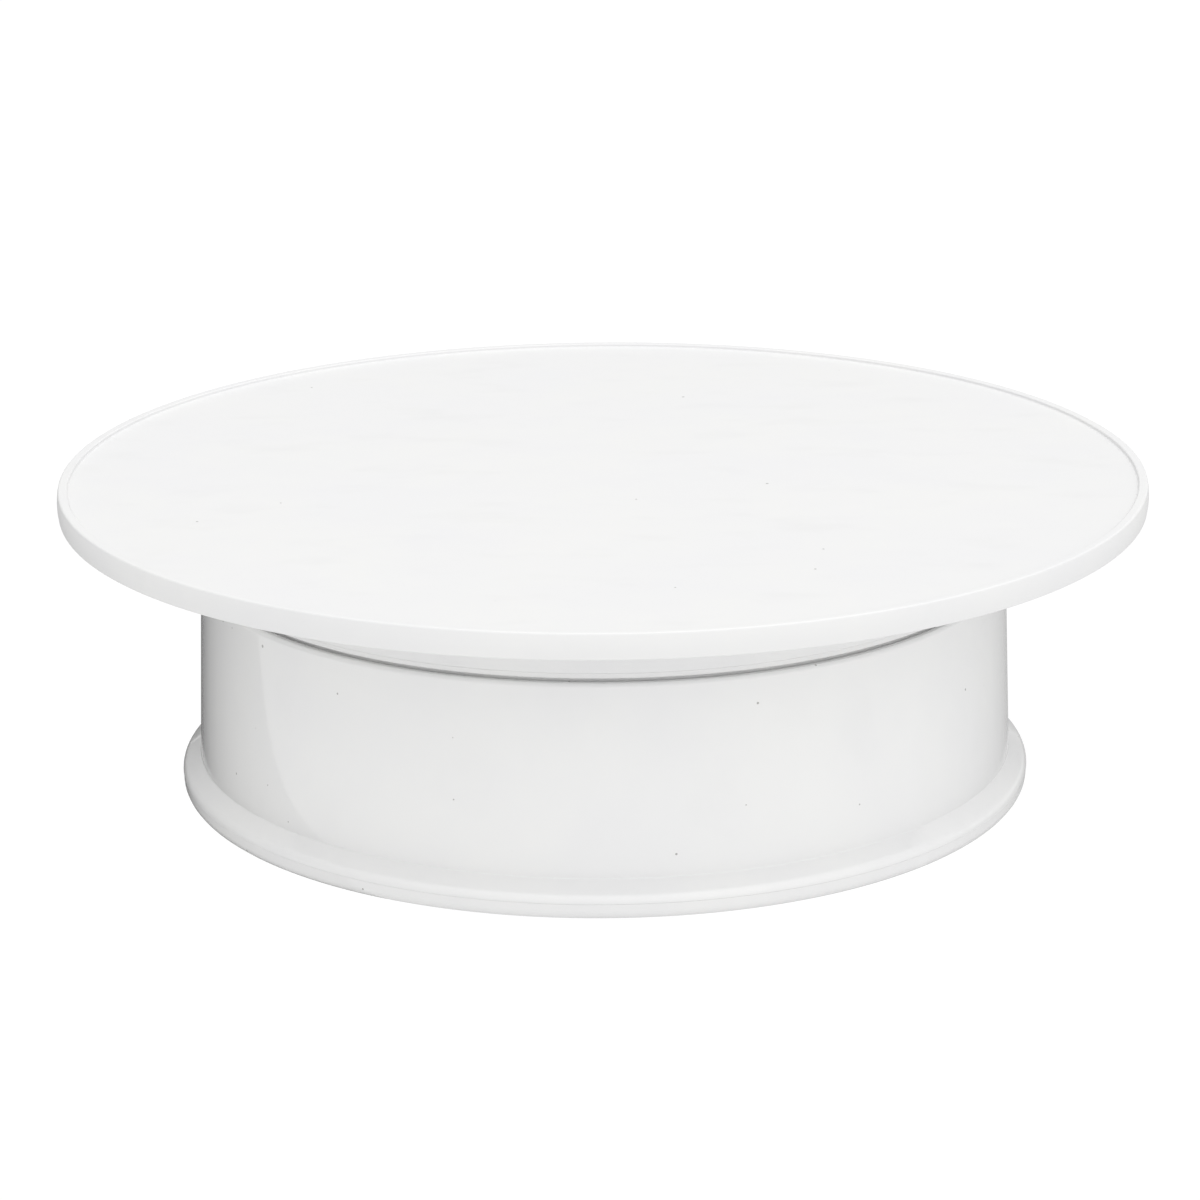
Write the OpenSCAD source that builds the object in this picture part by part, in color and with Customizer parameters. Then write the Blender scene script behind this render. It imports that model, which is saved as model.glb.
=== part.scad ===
// Hand-turned turntable: a round plate with a raised lip and a short skirt turns on a ring of
// balls over a wide drum. A spindle in two bushes keeps the plate on centre and holds it down.
// Millimetres, +Z up. The origin is on the floor, on the turning axis.

/* [Overall] */
// Diameter of the turning plate
plate_d = 250; // [240:1:260]
// Height from the floor to the top of the raised lip
total_h = 74; // [72:1:84]

/* [Plate] */
// Height of the plate's rim band
rim_h = 5.8; // [5.4:0.1:6.6]
// Width of the raised lip around the flat top
lip_w = 2.4; // [2.2:0.1:3]
// Height of the lip above the flat top
lip_h = 0.8; // [0.7:0.1:1]
// Thickness of the flat top
top_t = 3; // [2.6:0.1:3.2]
// How far the rim's side bulges at its middle
rim_crown = 0.45; // [0.35:0.05:0.5]
// Height of the skirt below the rim
skirt_drop = 14.9; // [14.5:0.1:16]

/* [Drum] */
// Diameter of the drum at its top edge
drum_top_d = 186; // [185:0.5:188]
// Diameter of the drum where it meets the flange
drum_foot_d = 189; // [188.5:0.5:190]
// Outer diameter of the flange
flange_d = 197.4; // [197:0.2:200]
// Wall thickness of the plastic shells
wall = 2.4; // [2.2:0.1:2.6]
// Gap between the drum and the skirt above it
turning_gap = 0.7; // [0.6:0.1:1.2]

/* [Ball bearing] */
// Diameter of the circle that the ball centres run on
ball_circle_d = 140; // [134:1:141]
// Diameter of one ball
ball_d = 6; // [5.6:0.1:6]
// Number of balls
ball_count = 18; // [12:1:20]

/* [Spindle] */
// Diameter of the spindle's shaft
shaft_d = 12; // [11:0.5:13]
// Radial clearance of the shaft in its bushes
shaft_play = 0.05; // [0.02:0.01:0.1]

/* [Feet] */
// Diameter of one rubber foot
foot_d = 14; // [12:0.5:15]
// How far a foot stands below the base cover
foot_out = 1.4; // [1:0.1:1.8]
// Radius of the circle that the feet stand on
foot_circle_r = 82; // [76:1:83]

/* [Hidden] */
$fn = 96;
eps = 0.1;
foot_count = 6;

// Colours
white_gloss = [0.93, 0.93, 0.93];
white_satin = [0.97, 0.97, 0.97];
natural_nylon = [0.90, 0.89, 0.84];
black_acetal = [0.10, 0.10, 0.11];
steel = [0.72, 0.73, 0.75];
zinc = [0.80, 0.80, 0.78];
dark_rubber = [0.16, 0.16, 0.17];

// Radii
plate_r = plate_d / 2;
drum_top_r = drum_top_d / 2;
drum_foot_r = drum_foot_d / 2;
flange_r = flange_d / 2;
skirt_r = drum_top_r - 1.5;
skirt_in_r = skirt_r - wall;
ball_circle_r = ball_circle_d / 2;
ball_r = ball_d / 2;
shaft_r = shaft_d / 2;

// Heights of the outside, from the floor up
cover_z = foot_out;
seam_z = cover_z + 3.8;
flange_edge_z = seam_z + 1.4;
drum_foot_z = seam_z + 4.3;
rim_z = total_h - rim_h;
skirt_z = rim_z - skirt_drop + 1.2;
bearing_plate_z = rim_z - skirt_drop;
drum_top_z = bearing_plate_z - turning_gap;
top_z = total_h - lip_h;
top_under_z = top_z - top_t;

// Ball bearing: two grooved rings, each half sunk into its seat, with the balls between them
race_t = 2;
race_half_w = 9;
race_seat_play = 0.2;
race_in_r = ball_circle_r - race_half_w;
race_out_r = ball_circle_r + race_half_w;
track_r = ball_r + 0.2;
track_depth = 0.8;
ball_play = 0.02;
upper_race_z = bearing_plate_z - race_t / 2;
ball_z = upper_race_z + track_depth - ball_play - ball_r;
lower_race_top_z = ball_z - ball_r - ball_play + track_depth;
lower_race_z = lower_race_top_z - race_t;
cage_t = 2.4;
cage_half_w = 4.5;
pocket_play = 0.12;

// Bearing plate, which closes the rotor from below
bearing_plate_t = 2.2;
bearing_plate_top_z = bearing_plate_z + bearing_plate_t;
bearing_plate_in_r = race_in_r - 4;
plate_screw_r = race_out_r + 4.3;

// Crumb guard: a ring under the bearing plate that hangs inside the top of the drum
guard_recess = 1;
guard_t = 1.4;
guard_drop = 1.7;
channel_depth = 1.7;

// Bearing deck: its edge hangs in a rebate round the top of the drum, its hub below it
deck_z = lower_race_z + race_t / 2;
deck_t = 3;
deck_under_z = deck_z - deck_t;
step_r = race_out_r + 3;
deck_edge_t = 1.6;
deck_edge_play = 0.1;
deck_edge_z = drum_top_z - channel_depth;
rebate_r = drum_top_r - 2;
ledge_r = step_r + wall + 0.5;
hub_r = 15;
hub_top_z = deck_z + 3;
hub_bottom_z = hub_top_z - 26;

// Stiffening ribs, in line with the screw pillars
rib_t = 2;
rib_h = 4;

// Fasteners: six of each, between the ribs
screw_count = 6;
m3_r = 1.5;
m4_r = 2;
thread_play = 0.02;
hole_play = 0.2;
race_screw_r = race_out_r - 2.9;
pillar_r = 4;
pillar_circle_r = 80;
pillar_angle = 30;
cover_floor_t = 2.4;
cover_rib_h = 1.6;
access_r = 22;
cover_boss_z = cover_z + 4.8;
cover_head_z = cover_z + 2.2;

// Rim: the arc along its side peaks at the plate's radius
rim_side_r = 12;
rim_side_half = atan(rim_h / 2 / rim_crown);
rim_peak_r = plate_r + rim_side_r * (1 / sin(rim_side_half) - 1);

// Small fillet where two shells meet flush
seam_fillet = 0.15;

// Low ring under the plate that centres the skirt
centring_out_r = skirt_in_r - race_seat_play;
centring_in_r = centring_out_r - 1.8;
centring_h = 2;

// Plate hub and spindle
plate_boss_r = 24;
plate_boss_z = top_under_z - 8.2;
spindle_flange_r = 20;
spindle_flange_t = 4;
spindle_flange_z = plate_boss_z - spindle_flange_t;
spigot_r = 8;
spigot_h = 2;
spindle_screw_r = 14;
spindle_screws_n = 4;

// Bushes and the washers stacked under the lower one
bush_wall = 3;
bush_in_r = shaft_r + shaft_play;
bush_out_r = shaft_r + bush_wall;
bush_flange_r = bush_out_r + 2.5;
bush_flange_t = 1.5;
bush_len = 12;
stack_gap = 0.05;
washer_t = 1;
wave_h = 0.9;
wave_sheet_t = 0.4;
clip_t = 1;
thrust_top_z = hub_bottom_z - bush_flange_t - stack_gap;
wave_top_z = thrust_top_z - washer_t - stack_gap;
clip_top_z = wave_top_z - wave_h - stack_gap;
groove_r = shaft_r - 1;
groove_play = 0.05;
spindle_end_z = clip_top_z - clip_t - 2.6;

// ---------------------------------------------------------------- helpers

function unit(v) = v / norm(v);

// The piece between a profile's corner and the arc that rounds it. Subtracted, it rounds an
// outside corner; added, it fills an inside one. `from` and `to` are points along the two edges.
module corner(at, from, to, r) {
    a = unit(from - at);
    b = unit(to - at);
    half = acos(a * b) / 2;
    middle = unit(a + b);
    centre = at + middle * r / sin(half);
    difference() {
        polygon([at - middle * eps, at + a * r / tan(half), centre, at + b * r / tan(half)]);
        translate(centre) circle(r);
    }
}

// A band of a profile between two radii and two heights
module band(r0, r1, z0, z1) {
    translate([r0, z0]) square([r1 - r0, z1 - z0]);
}

module ring(r0, r1, z0, z1) {
    rotate_extrude() band(r0, r1, z0, z1);
}

// Children repeated round the axis at radius r
module around(count, r, start = 0) {
    for (i = [0:count - 1])
        rotate(start + i * 360 / count)
            translate([r, 0, 0])
                children();
}

// Radial ribs from radius r0 to r1
module ribs(count, start, r0, r1, z0, z1, t) {
    around(count, r0, start)
        translate([0, -t / 2, z0])
            cube([r1 - r0, t, z1 - z0]);
}

// Cross recess cut into a screw head whose top is at z = 0, opening downwards
module cross_recess(width, depth) {
    for (turn = [0, 90])
        rotate(turn)
            translate([-width / 2, -width / 8, -eps])
                cube([width, width / 4, depth + eps]);
}

// Pan-head screw pointing up, with the underside of its head at z = 0
module pan_screw(r, length, head_h) {
    head_r = r * 1.85;
    difference() {
        union() {
            cylinder(r = r - thread_play, h = length);
            rotate_extrude()
                difference() {
                    band(0, head_r, -head_h, 0);
                    corner([head_r, -head_h], [0, -head_h], [head_r, 0], head_h * 0.6);
                }
        }
        translate([0, 0, -head_h]) cross_recess(head_r * 1.2, head_h * 0.6);
    }
}

// Countersunk screw pointing up, with the flat of its head at z = 0
module flat_screw(r, length) {
    head_r = r * 2;
    difference() {
        union() {
            cylinder(r1 = head_r, r2 = r - thread_play, h = r);
            cylinder(r = r - thread_play, h = length);
        }
        cross_recess(head_r, r * 0.8);
    }
}

// ---------------------------------------------------------------- turning parts

// Section of the plate: flat top, rim with its lip, spindle boss, and the low ring that
// centres the skirt
module top_plate_section() {
    lip_in_r = plate_r - lip_w;
    rim_top = [rim_peak_r - rim_crown, total_h];
    rim_middle = [rim_peak_r, total_h - rim_h / 2];
    rim_bottom = [rim_peak_r - rim_crown, rim_z];
    difference() {
        union() {
            band(0, lip_in_r + 1, top_under_z, top_z);
            polygon([[lip_in_r, rim_z], rim_bottom, rim_middle, rim_top, [lip_in_r, total_h]]);
            band(centring_in_r, centring_out_r, top_under_z - centring_h, top_z - top_t / 2);
            band(0, plate_boss_r, plate_boss_z, top_z);
            corner([lip_in_r, top_z], [0, top_z], [lip_in_r, total_h], 0.35);
            corner([lip_in_r, top_under_z], [0, top_under_z], [lip_in_r, rim_z], 0.8);
        }
        corner(rim_top, [0, total_h], rim_middle, 0.5);
        corner(rim_middle, rim_top, rim_bottom, rim_side_r);
        corner(rim_bottom, [0, rim_z], rim_middle, 0.4);
        corner([lip_in_r, total_h], [plate_r, total_h], [lip_in_r, 0], 0.35);
        band(0, spigot_r + hole_play, plate_boss_z - eps, plate_boss_z + spigot_h + hole_play);
    }
}

module top_plate() {
    post_r = m3_r + 2;
    color(white_satin)
        difference() {
            union() {
                rotate_extrude() top_plate_section();
                ribs(
                    screw_count, pillar_angle, plate_boss_r - 1, centring_in_r + 1,
                    top_under_z - rib_h, top_z - top_t / 2, rib_t
                );
                around(screw_count, plate_screw_r)
                    translate([0, 0, bearing_plate_top_z])
                        cylinder(r = post_r, h = top_z - top_t / 2 - bearing_plate_top_z);
            }
            around(screw_count, plate_screw_r)
                translate([0, 0, bearing_plate_top_z - eps])
                    cylinder(r = m3_r, h = 9);
            around(spindle_screws_n, spindle_screw_r, 45)
                translate([0, 0, plate_boss_z - eps])
                    cylinder(r = m4_r, h = 8);
        }
}

// Tube below the rim. It is clamped between the plate and the bearing plate.
module skirt_ring() {
    color(white_satin)
        rotate_extrude()
            difference() {
                band(skirt_in_r, skirt_r, skirt_z, top_under_z);
                corner(
                    [skirt_r, skirt_z], [skirt_in_r, skirt_z], [skirt_r, top_under_z], seam_fillet
                );
                corner(
                    [skirt_in_r, top_under_z], [skirt_r, top_under_z], [skirt_in_r, skirt_z], 0.3
                );
            }
}

// Ring that closes the skirt. Its outer edge shows as the thin strip above the gap, and its
// crumb guard stands behind the gap.
module bearing_plate_section() {
    strip_r = skirt_r - 0.1;
    spigot_out_r = skirt_in_r - race_seat_play;
    guard_out_r = strip_r - guard_recess;
    guard_z = bearing_plate_z - guard_drop;
    guard_corner = [guard_out_r, guard_z];
    difference() {
        union() {
            band(bearing_plate_in_r, spigot_out_r, bearing_plate_z, bearing_plate_top_z);
            band(bearing_plate_in_r, strip_r, bearing_plate_z, skirt_z);
            band(guard_out_r - guard_t, guard_out_r, guard_z, bearing_plate_z + 1);
        }
        corner(guard_corner, [0, guard_z], [guard_out_r, skirt_z], 0.3);
        corner([strip_r, bearing_plate_z], [0, bearing_plate_z], [strip_r, skirt_z], 0.3);
        corner([strip_r, skirt_z], [0, skirt_z], [strip_r, bearing_plate_z], seam_fillet);
        band(
            race_in_r - race_seat_play, race_out_r + race_seat_play,
            bearing_plate_z - eps, bearing_plate_z + race_t / 2
        );
    }
}

module bearing_plate() {
    color(white_gloss)
        difference() {
            rotate_extrude() bearing_plate_section();
            around(screw_count, plate_screw_r)
                translate([0, 0, bearing_plate_z - eps]) {
                    cylinder(r = m3_r + hole_play, h = bearing_plate_t + 2 * eps);
                    cylinder(r1 = m3_r * 2 + hole_play + eps, r2 = m3_r + hole_play, h = m3_r + eps);
                }
            around(screw_count, race_screw_r, pillar_angle)
                translate([0, 0, bearing_plate_z])
                    cylinder(r = m3_r + hole_play, h = bearing_plate_t + eps);
        }
}

module bearing_plate_screws() {
    color(zinc)
        around(screw_count, plate_screw_r)
            translate([0, 0, bearing_plate_z])
                flat_screw(m3_r, 10);
}

// Grooved steel ring. The groove opens downwards on the upper ring and upwards on the lower.
module race(bottom_z, groove_z, screw_start) {
    color(steel)
        difference() {
            rotate_extrude()
                difference() {
                    band(race_in_r, race_out_r, bottom_z, bottom_z + race_t);
                    translate([ball_circle_r, groove_z]) circle(track_r);
                }
            around(screw_count, race_screw_r, screw_start)
                translate([0, 0, bottom_z - eps])
                    cylinder(r = m3_r, h = race_t + 2 * eps);
        }
}

module upper_race() {
    race(upper_race_z, upper_race_z + track_depth - track_r, pillar_angle);
}

module upper_race_screws() {
    color(zinc)
        around(screw_count, race_screw_r, pillar_angle)
            translate([0, 0, bearing_plate_top_z])
                rotate([180, 0, 0])
                    pan_screw(m3_r, bearing_plate_top_z - upper_race_z - 0.3, 1.6);
}

// Shaft with a bolted flange at the top and a groove for the clip near its end
module spindle_section() {
    difference() {
        union() {
            band(0, shaft_r, spindle_end_z, spindle_flange_z + 1);
            band(0, spindle_flange_r, spindle_flange_z, plate_boss_z);
            band(0, spigot_r, plate_boss_z - 1, plate_boss_z + spigot_h);
            corner(
                [shaft_r, spindle_flange_z], [shaft_r, 0], [spindle_flange_r, spindle_flange_z], 1
            );
        }
        corner([shaft_r, spindle_end_z], [0, spindle_end_z], [shaft_r, plate_boss_z], 0.8);
        corner(
            [spindle_flange_r, spindle_flange_z], [0, spindle_flange_z],
            [spindle_flange_r, plate_boss_z], 0.6
        );
        band(
            groove_r, shaft_r + eps,
            clip_top_z - clip_t - groove_play, clip_top_z + groove_play
        );
    }
}

module spindle() {
    color(steel)
        difference() {
            rotate_extrude() spindle_section();
            around(spindle_screws_n, spindle_screw_r, 45)
                translate([0, 0, spindle_flange_z - eps])
                    cylinder(r = m4_r + hole_play, h = spindle_flange_t + 2 * eps);
        }
}

module spindle_screws() {
    color(zinc)
        around(spindle_screws_n, spindle_screw_r, 45)
            translate([0, 0, spindle_flange_z])
                pan_screw(m4_r, 11, 2.6);
}

module thrust_washer() {
    color(natural_nylon)
        ring(shaft_r + hole_play, bush_flange_r - 0.5, thrust_top_z - washer_t, thrust_top_z);
}

// Sheet-steel washer whose height rises and falls three times round the circle
module wave_washer() {
    steps = 72;
    waves = 3;
    inner = shaft_r + 2 * hole_play;
    outer = bush_flange_r - 1;
    swing = (wave_h - wave_sheet_t) / 2;
    middle_z = wave_top_z - wave_h / 2;
    section = [
        [inner, -wave_sheet_t / 2],
        [outer, -wave_sheet_t / 2],
        [outer, wave_sheet_t / 2],
        [inner, wave_sheet_t / 2]
    ];
    points = [
        for (i = [0:steps - 1])
            let (a = i * 360 / steps, z = middle_z + swing * cos(waves * a))
                for (p = section) [p[0] * cos(a), p[0] * sin(a), z + p[1]]
    ];
    faces = [
        for (i = [0:steps - 1], j = [0:3])
            let (here = 4 * i, next = 4 * ((i + 1) % steps), k = (j + 1) % 4)
                [here + j, here + k, next + k, next + j]
    ];
    color(steel) polyhedron(points, faces);
}

// E-shaped clip: an open ring with three prongs that reach into the groove
module retaining_clip() {
    outer = shaft_r + 3.2;
    inner = shaft_r + 1.2;
    bite = groove_r + groove_play;
    color(steel)
        translate([0, 0, clip_top_z - clip_t])
            linear_extrude(clip_t) {
                difference() {
                    circle(outer);
                    circle(inner);
                    translate([0, -bite]) square([outer + 1, 2 * bite]);
                }
                for (turn = [90, 180, 270])
                    rotate(turn)
                        difference() {
                            translate([0, -1.6]) square([inner + 0.5, 3.2]);
                            circle(bite);
                        }
            }
}

// ---------------------------------------------------------------- rolling parts

// Ring that keeps the balls apart. Each pocket is part of a sphere, so the balls carry the ring.
module ball_cage() {
    color(natural_nylon)
        difference() {
            ring(
                ball_circle_r - cage_half_w, ball_circle_r + cage_half_w,
                ball_z - cage_t / 2, ball_z + cage_t / 2
            );
            around(ball_count, ball_circle_r)
                translate([0, 0, ball_z])
                    sphere(ball_r + pocket_play);
            around(ball_count, ball_circle_r, 180 / ball_count)
                translate([0, 0, ball_z - cage_t])
                    cylinder(r = 2.2, h = 2 * cage_t);
        }
}

module bearing_balls() {
    color(steel)
        around(ball_count, ball_circle_r)
            translate([0, 0, ball_z])
                sphere(ball_r);
}

// ---------------------------------------------------------------- standing parts

// Section of the drum: flange, drafted wall, and a ledge below its top edge for the deck
module drum_wall_section() {
    foot_in_r = drum_foot_r - wall;
    top_in_r = drum_top_r - wall;
    slope_end = [drum_foot_r, drum_foot_z];
    flange_corner = [flange_r, flange_edge_z];
    drum_corner = [drum_top_r, drum_top_z];
    rebate_z = deck_edge_z - deck_edge_t;
    ledge_under_z = rebate_z - deck_edge_t;
    difference() {
        union() {
            polygon([
                [flange_r, seam_z], flange_corner, slope_end, drum_corner,
                [rebate_r, drum_top_z], [rebate_r, rebate_z], [ledge_r, rebate_z],
                [ledge_r, ledge_under_z], [top_in_r, ledge_under_z],
                [foot_in_r, drum_foot_z], [foot_in_r, seam_z]
            ]);
            corner(slope_end, flange_corner, drum_corner, 0.4);
        }
        corner(flange_corner, slope_end, [flange_r, seam_z], 2.5);
        corner(drum_corner, slope_end, [0, drum_top_z], 1);
        corner([flange_r, seam_z], [foot_in_r, seam_z], flange_corner, seam_fillet);
    }
}

module drum_wall() {
    color(white_gloss) rotate_extrude() drum_wall_section();
}

// Section of the deck: edge, step down, floor with the race's seat, and the hub
module bearing_deck_section() {
    edge_r = rebate_r - deck_edge_play;
    step_corner = [step_r, deck_edge_z];
    difference() {
        union() {
            band(step_r, edge_r, deck_edge_z - deck_edge_t, deck_edge_z);
            band(step_r, step_r + wall, deck_under_z, deck_edge_z);
            band(0, step_r + wall, deck_under_z, deck_z);
            band(0, hub_r, hub_bottom_z, hub_top_z);
        }
        corner(step_corner, [edge_r, deck_edge_z], [step_r, deck_z], 0.6);
        band(0, bush_out_r, hub_bottom_z - eps, hub_top_z + eps);
        band(
            race_in_r - race_seat_play, race_out_r + race_seat_play,
            lower_race_z, deck_z + eps
        );
    }
}

module bearing_deck() {
    color(white_gloss)
        difference() {
            union() {
                rotate_extrude() bearing_deck_section();
                ribs(
                    screw_count, pillar_angle, hub_r - 1, pillar_circle_r,
                    deck_under_z - rib_h, deck_under_z + 1, rib_t
                );
                around(screw_count, pillar_circle_r, pillar_angle)
                    translate([0, 0, cover_boss_z])
                        cylinder(r = pillar_r, h = deck_under_z + 1 - cover_boss_z);
            }
            around(screw_count, pillar_circle_r, pillar_angle)
                translate([0, 0, cover_boss_z - eps])
                    cylinder(r = m3_r, h = 12);
            around(screw_count, race_screw_r)
                translate([0, 0, deck_under_z - eps])
                    cylinder(r = m3_r + hole_play, h = deck_t + 2 * eps);
        }
}

module lower_race() {
    race(lower_race_z, lower_race_top_z - track_depth + track_r, 0);
}

module lower_race_screws() {
    color(zinc)
        around(screw_count, race_screw_r)
            translate([0, 0, deck_under_z])
                pan_screw(m3_r, lower_race_top_z - deck_under_z - 0.3, 1.6);
}

// Flanged bush with its flange below z = 0 and its body above
module bush() {
    flange_corner = [bush_flange_r, -bush_flange_t];
    rotate_extrude()
        difference() {
            union() {
                band(bush_in_r, bush_out_r - thread_play, -bush_flange_t, bush_len);
                band(bush_in_r, bush_flange_r, -bush_flange_t, 0);
            }
            corner(flange_corner, [0, -bush_flange_t], [bush_flange_r, 0], 0.5);
        }
}

module upper_bush() {
    color(black_acetal)
        translate([0, 0, hub_top_z])
            rotate([180, 0, 0])
                bush();
}

module lower_bush() {
    color(black_acetal)
        translate([0, 0, hub_bottom_z])
            bush();
}

// Section of the cover: rounded rim below the seam, floor, and a lip that centres it
module base_cover_section() {
    cover_r = flange_r - 0.1;
    floor_z = cover_z + cover_floor_t;
    locating_r = drum_foot_r - wall - 0.3;
    difference() {
        union() {
            band(access_r, cover_r, cover_z, floor_z);
            band(access_r, access_r + 2, cover_z, floor_z + cover_rib_h);
            band(locating_r - 2, cover_r, cover_z, seam_z);
            band(locating_r - 2, locating_r, cover_z, seam_z + 2.4);
        }
        corner([cover_r, cover_z], [0, cover_z], [cover_r, seam_z], 2.2);
        corner([cover_r, seam_z], [0, seam_z], [cover_r, cover_z], seam_fillet);
        corner([access_r, cover_z], [cover_r, cover_z], [access_r, seam_z], 0.6);
    }
}

module base_cover() {
    recess_z = cover_z + 1;
    floor_z = cover_z + cover_floor_t;
    color(white_gloss)
        difference() {
            union() {
                rotate_extrude() base_cover_section();
                around(screw_count, pillar_circle_r, pillar_angle)
                    translate([0, 0, floor_z - 1])
                        cylinder(r = m3_r + 3.2, h = cover_boss_z - floor_z + 1);
                ribs(
                    screw_count, pillar_angle, access_r + 1, 73,
                    floor_z - 1, floor_z + cover_rib_h, rib_t
                );
            }
            around(screw_count, pillar_circle_r, pillar_angle)
                translate([0, 0, cover_z - eps]) {
                    cylinder(r = m3_r * 1.85 + 2 * hole_play, h = cover_head_z - cover_z + eps);
                    cylinder(r = m3_r + hole_play, h = cover_boss_z - cover_z + 2 * eps);
                }
            around(foot_count, foot_circle_r)
                translate([0, 0, cover_z - eps]) {
                    cylinder(r = foot_d / 2 + hole_play, h = recess_z - cover_z + eps);
                    cylinder(r = m4_r + thread_play, h = cover_floor_t + 2 * eps);
                }
        }
}

module cover_screws() {
    color(zinc)
        around(screw_count, pillar_circle_r, pillar_angle)
            translate([0, 0, cover_head_z])
                pan_screw(m3_r, 12, 1.8);
}

// Rubber foot: a pad in the cover's recess and a stem whose barb holds it through the floor
module foot(number) {
    foot_r = foot_d / 2;
    pad_top_z = cover_z + 1;
    floor_z = cover_z + cover_floor_t;
    color(dark_rubber)
        rotate((number - 1) * 360 / foot_count)
            translate([foot_circle_r, 0, 0]) {
                rotate_extrude()
                    difference() {
                        union() {
                            band(0, foot_r, 0, pad_top_z);
                            band(0, m4_r, 0, floor_z + 1);
                        }
                        corner([foot_r, 0], [0, 0], [foot_r, pad_top_z], 0.6);
                    }
                translate([0, 0, floor_z])
                    cylinder(r1 = m4_r + 0.7, r2 = m4_r - 0.5, h = 1.6);
            }
}

// ---------------------------------------------------------------- assembly

top_plate();
skirt_ring();
bearing_plate();
bearing_plate_screws();
upper_race();
upper_race_screws();
spindle();
spindle_screws();
thrust_washer();
wave_washer();
retaining_clip();
ball_cage();
bearing_balls();
drum_wall();
bearing_deck();
lower_race();
lower_race_screws();
upper_bush();
lower_bush();
base_cover();
cover_screws();
for (i = [1:foot_count])
    foot(i);
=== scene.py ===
import math

import bmesh
import bpy
from mathutils import Matrix, Vector


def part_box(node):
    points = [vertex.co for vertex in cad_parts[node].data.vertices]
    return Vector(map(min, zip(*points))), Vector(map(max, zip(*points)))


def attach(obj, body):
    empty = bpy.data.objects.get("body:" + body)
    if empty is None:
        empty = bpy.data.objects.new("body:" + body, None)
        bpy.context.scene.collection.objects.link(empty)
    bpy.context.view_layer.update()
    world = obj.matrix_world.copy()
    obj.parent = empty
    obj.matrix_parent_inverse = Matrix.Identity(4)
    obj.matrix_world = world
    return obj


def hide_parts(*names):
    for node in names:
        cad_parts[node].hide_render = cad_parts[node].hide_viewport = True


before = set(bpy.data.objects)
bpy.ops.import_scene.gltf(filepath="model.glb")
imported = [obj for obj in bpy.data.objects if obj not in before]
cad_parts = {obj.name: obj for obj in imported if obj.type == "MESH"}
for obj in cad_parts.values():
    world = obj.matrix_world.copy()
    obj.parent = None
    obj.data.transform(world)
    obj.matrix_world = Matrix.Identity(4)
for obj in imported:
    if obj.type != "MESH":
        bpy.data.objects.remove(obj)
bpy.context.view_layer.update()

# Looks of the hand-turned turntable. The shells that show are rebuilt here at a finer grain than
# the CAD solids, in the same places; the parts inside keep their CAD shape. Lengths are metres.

MM = 0.001
ROUND = 192            # segments round a shell
FINE_ROUND = 48        # segments round a small part
SCREW_ROUND = 24       # segments round a screw or its hole
ARC_STEPS = 6          # segments in one rounded corner
TINY = 1e-7            # lengths below this count as none
SMOOTH_ANGLE = math.radians(32)

# ---------------------------------------------------------------- sizes

plate_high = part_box("top_plate")[1]
skirt_low, skirt_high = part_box("skirt_ring")
strip_low, strip_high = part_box("bearing_plate")
drum_low, drum_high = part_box("drum_wall")
deck_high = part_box("bearing_deck")[1]
cover_low, cover_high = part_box("base_cover")
foot_low, foot_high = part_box("foot_1")
race_low, race_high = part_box("lower_race")
spindle_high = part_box("spindle")[1]

WALL = 2.4 * MM
RIB_H = 4 * MM
RIB_W = 2 * MM
SIXES = 6              # screws, pillars, ribs and feet each come in sixes
BETWEEN = 30           # degrees by which the pillars and ribs stand off the feet

# Plate
plate_r = plate_high.x
lip_top_z = plate_high.z
rim_z = lip_top_z - 5.8 * MM
lip_in_r = plate_r - 2.4 * MM
RIM_CROWN = 0.45 * MM
RIM_SIDE_R = 12 * MM
rim_side_half = math.atan2((lip_top_z - rim_z) / 2, RIM_CROWN)
rim_peak_r = plate_r + RIM_SIDE_R * (1 / math.sin(rim_side_half) - 1)
top_z = lip_top_z - 0.8 * MM
top_under_z = top_z - 3 * MM
skirt_z = skirt_low.z
skirt_r = skirt_high.x
skirt_in_r = skirt_r - WALL
plate_boss_r = 24 * MM
plate_boss_z = spindle_high.z - 2 * MM
plate_post_r = 3.5 * MM
spigot_hole_r = 8.2 * MM
centring_out_r = skirt_in_r - 0.2 * MM
centring_in_r = centring_out_r - 1.8 * MM
centring_z = top_under_z - 2 * MM

# Bearing plate: the thin strip under the skirt, and the guard behind the gap
strip_r = strip_high.x
strip_in_r = 57 * MM
guard_z = strip_low.z
strip_z = guard_z + 1.7 * MM
guard_out_r = strip_r - 1 * MM
guard_in_r = guard_out_r - 1.4 * MM

# Drum
flange_r = drum_high.x
seam_z = drum_low.z
flange_edge_z = seam_z + 1.4 * MM
drum_foot_z = seam_z + 4.3 * MM
drum_foot_r = 94.5 * MM
drum_top_r = skirt_r + 1.5 * MM
drum_top_z = drum_high.z
race_out_r = race_high.x
race_in_r = race_out_r - 18 * MM
seat_in_r = race_in_r - 0.2 * MM
seat_out_r = race_out_r + 0.2 * MM
deck_z = race_low.z + 1 * MM
deck_under_z = deck_z - 3 * MM
deck_edge_r = deck_high.x
deck_edge_z = deck_high.z
deck_edge_t = 1.6 * MM
rebate_r = deck_edge_r + 0.1 * MM
step_r = race_out_r + 3 * MM
ledge_r = step_r + WALL + 0.5 * MM
hub_r = 15 * MM
hub_bore_r = 9 * MM
hub_top_z = deck_z + 3 * MM
hub_bottom_z = hub_top_z - 26 * MM

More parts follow.
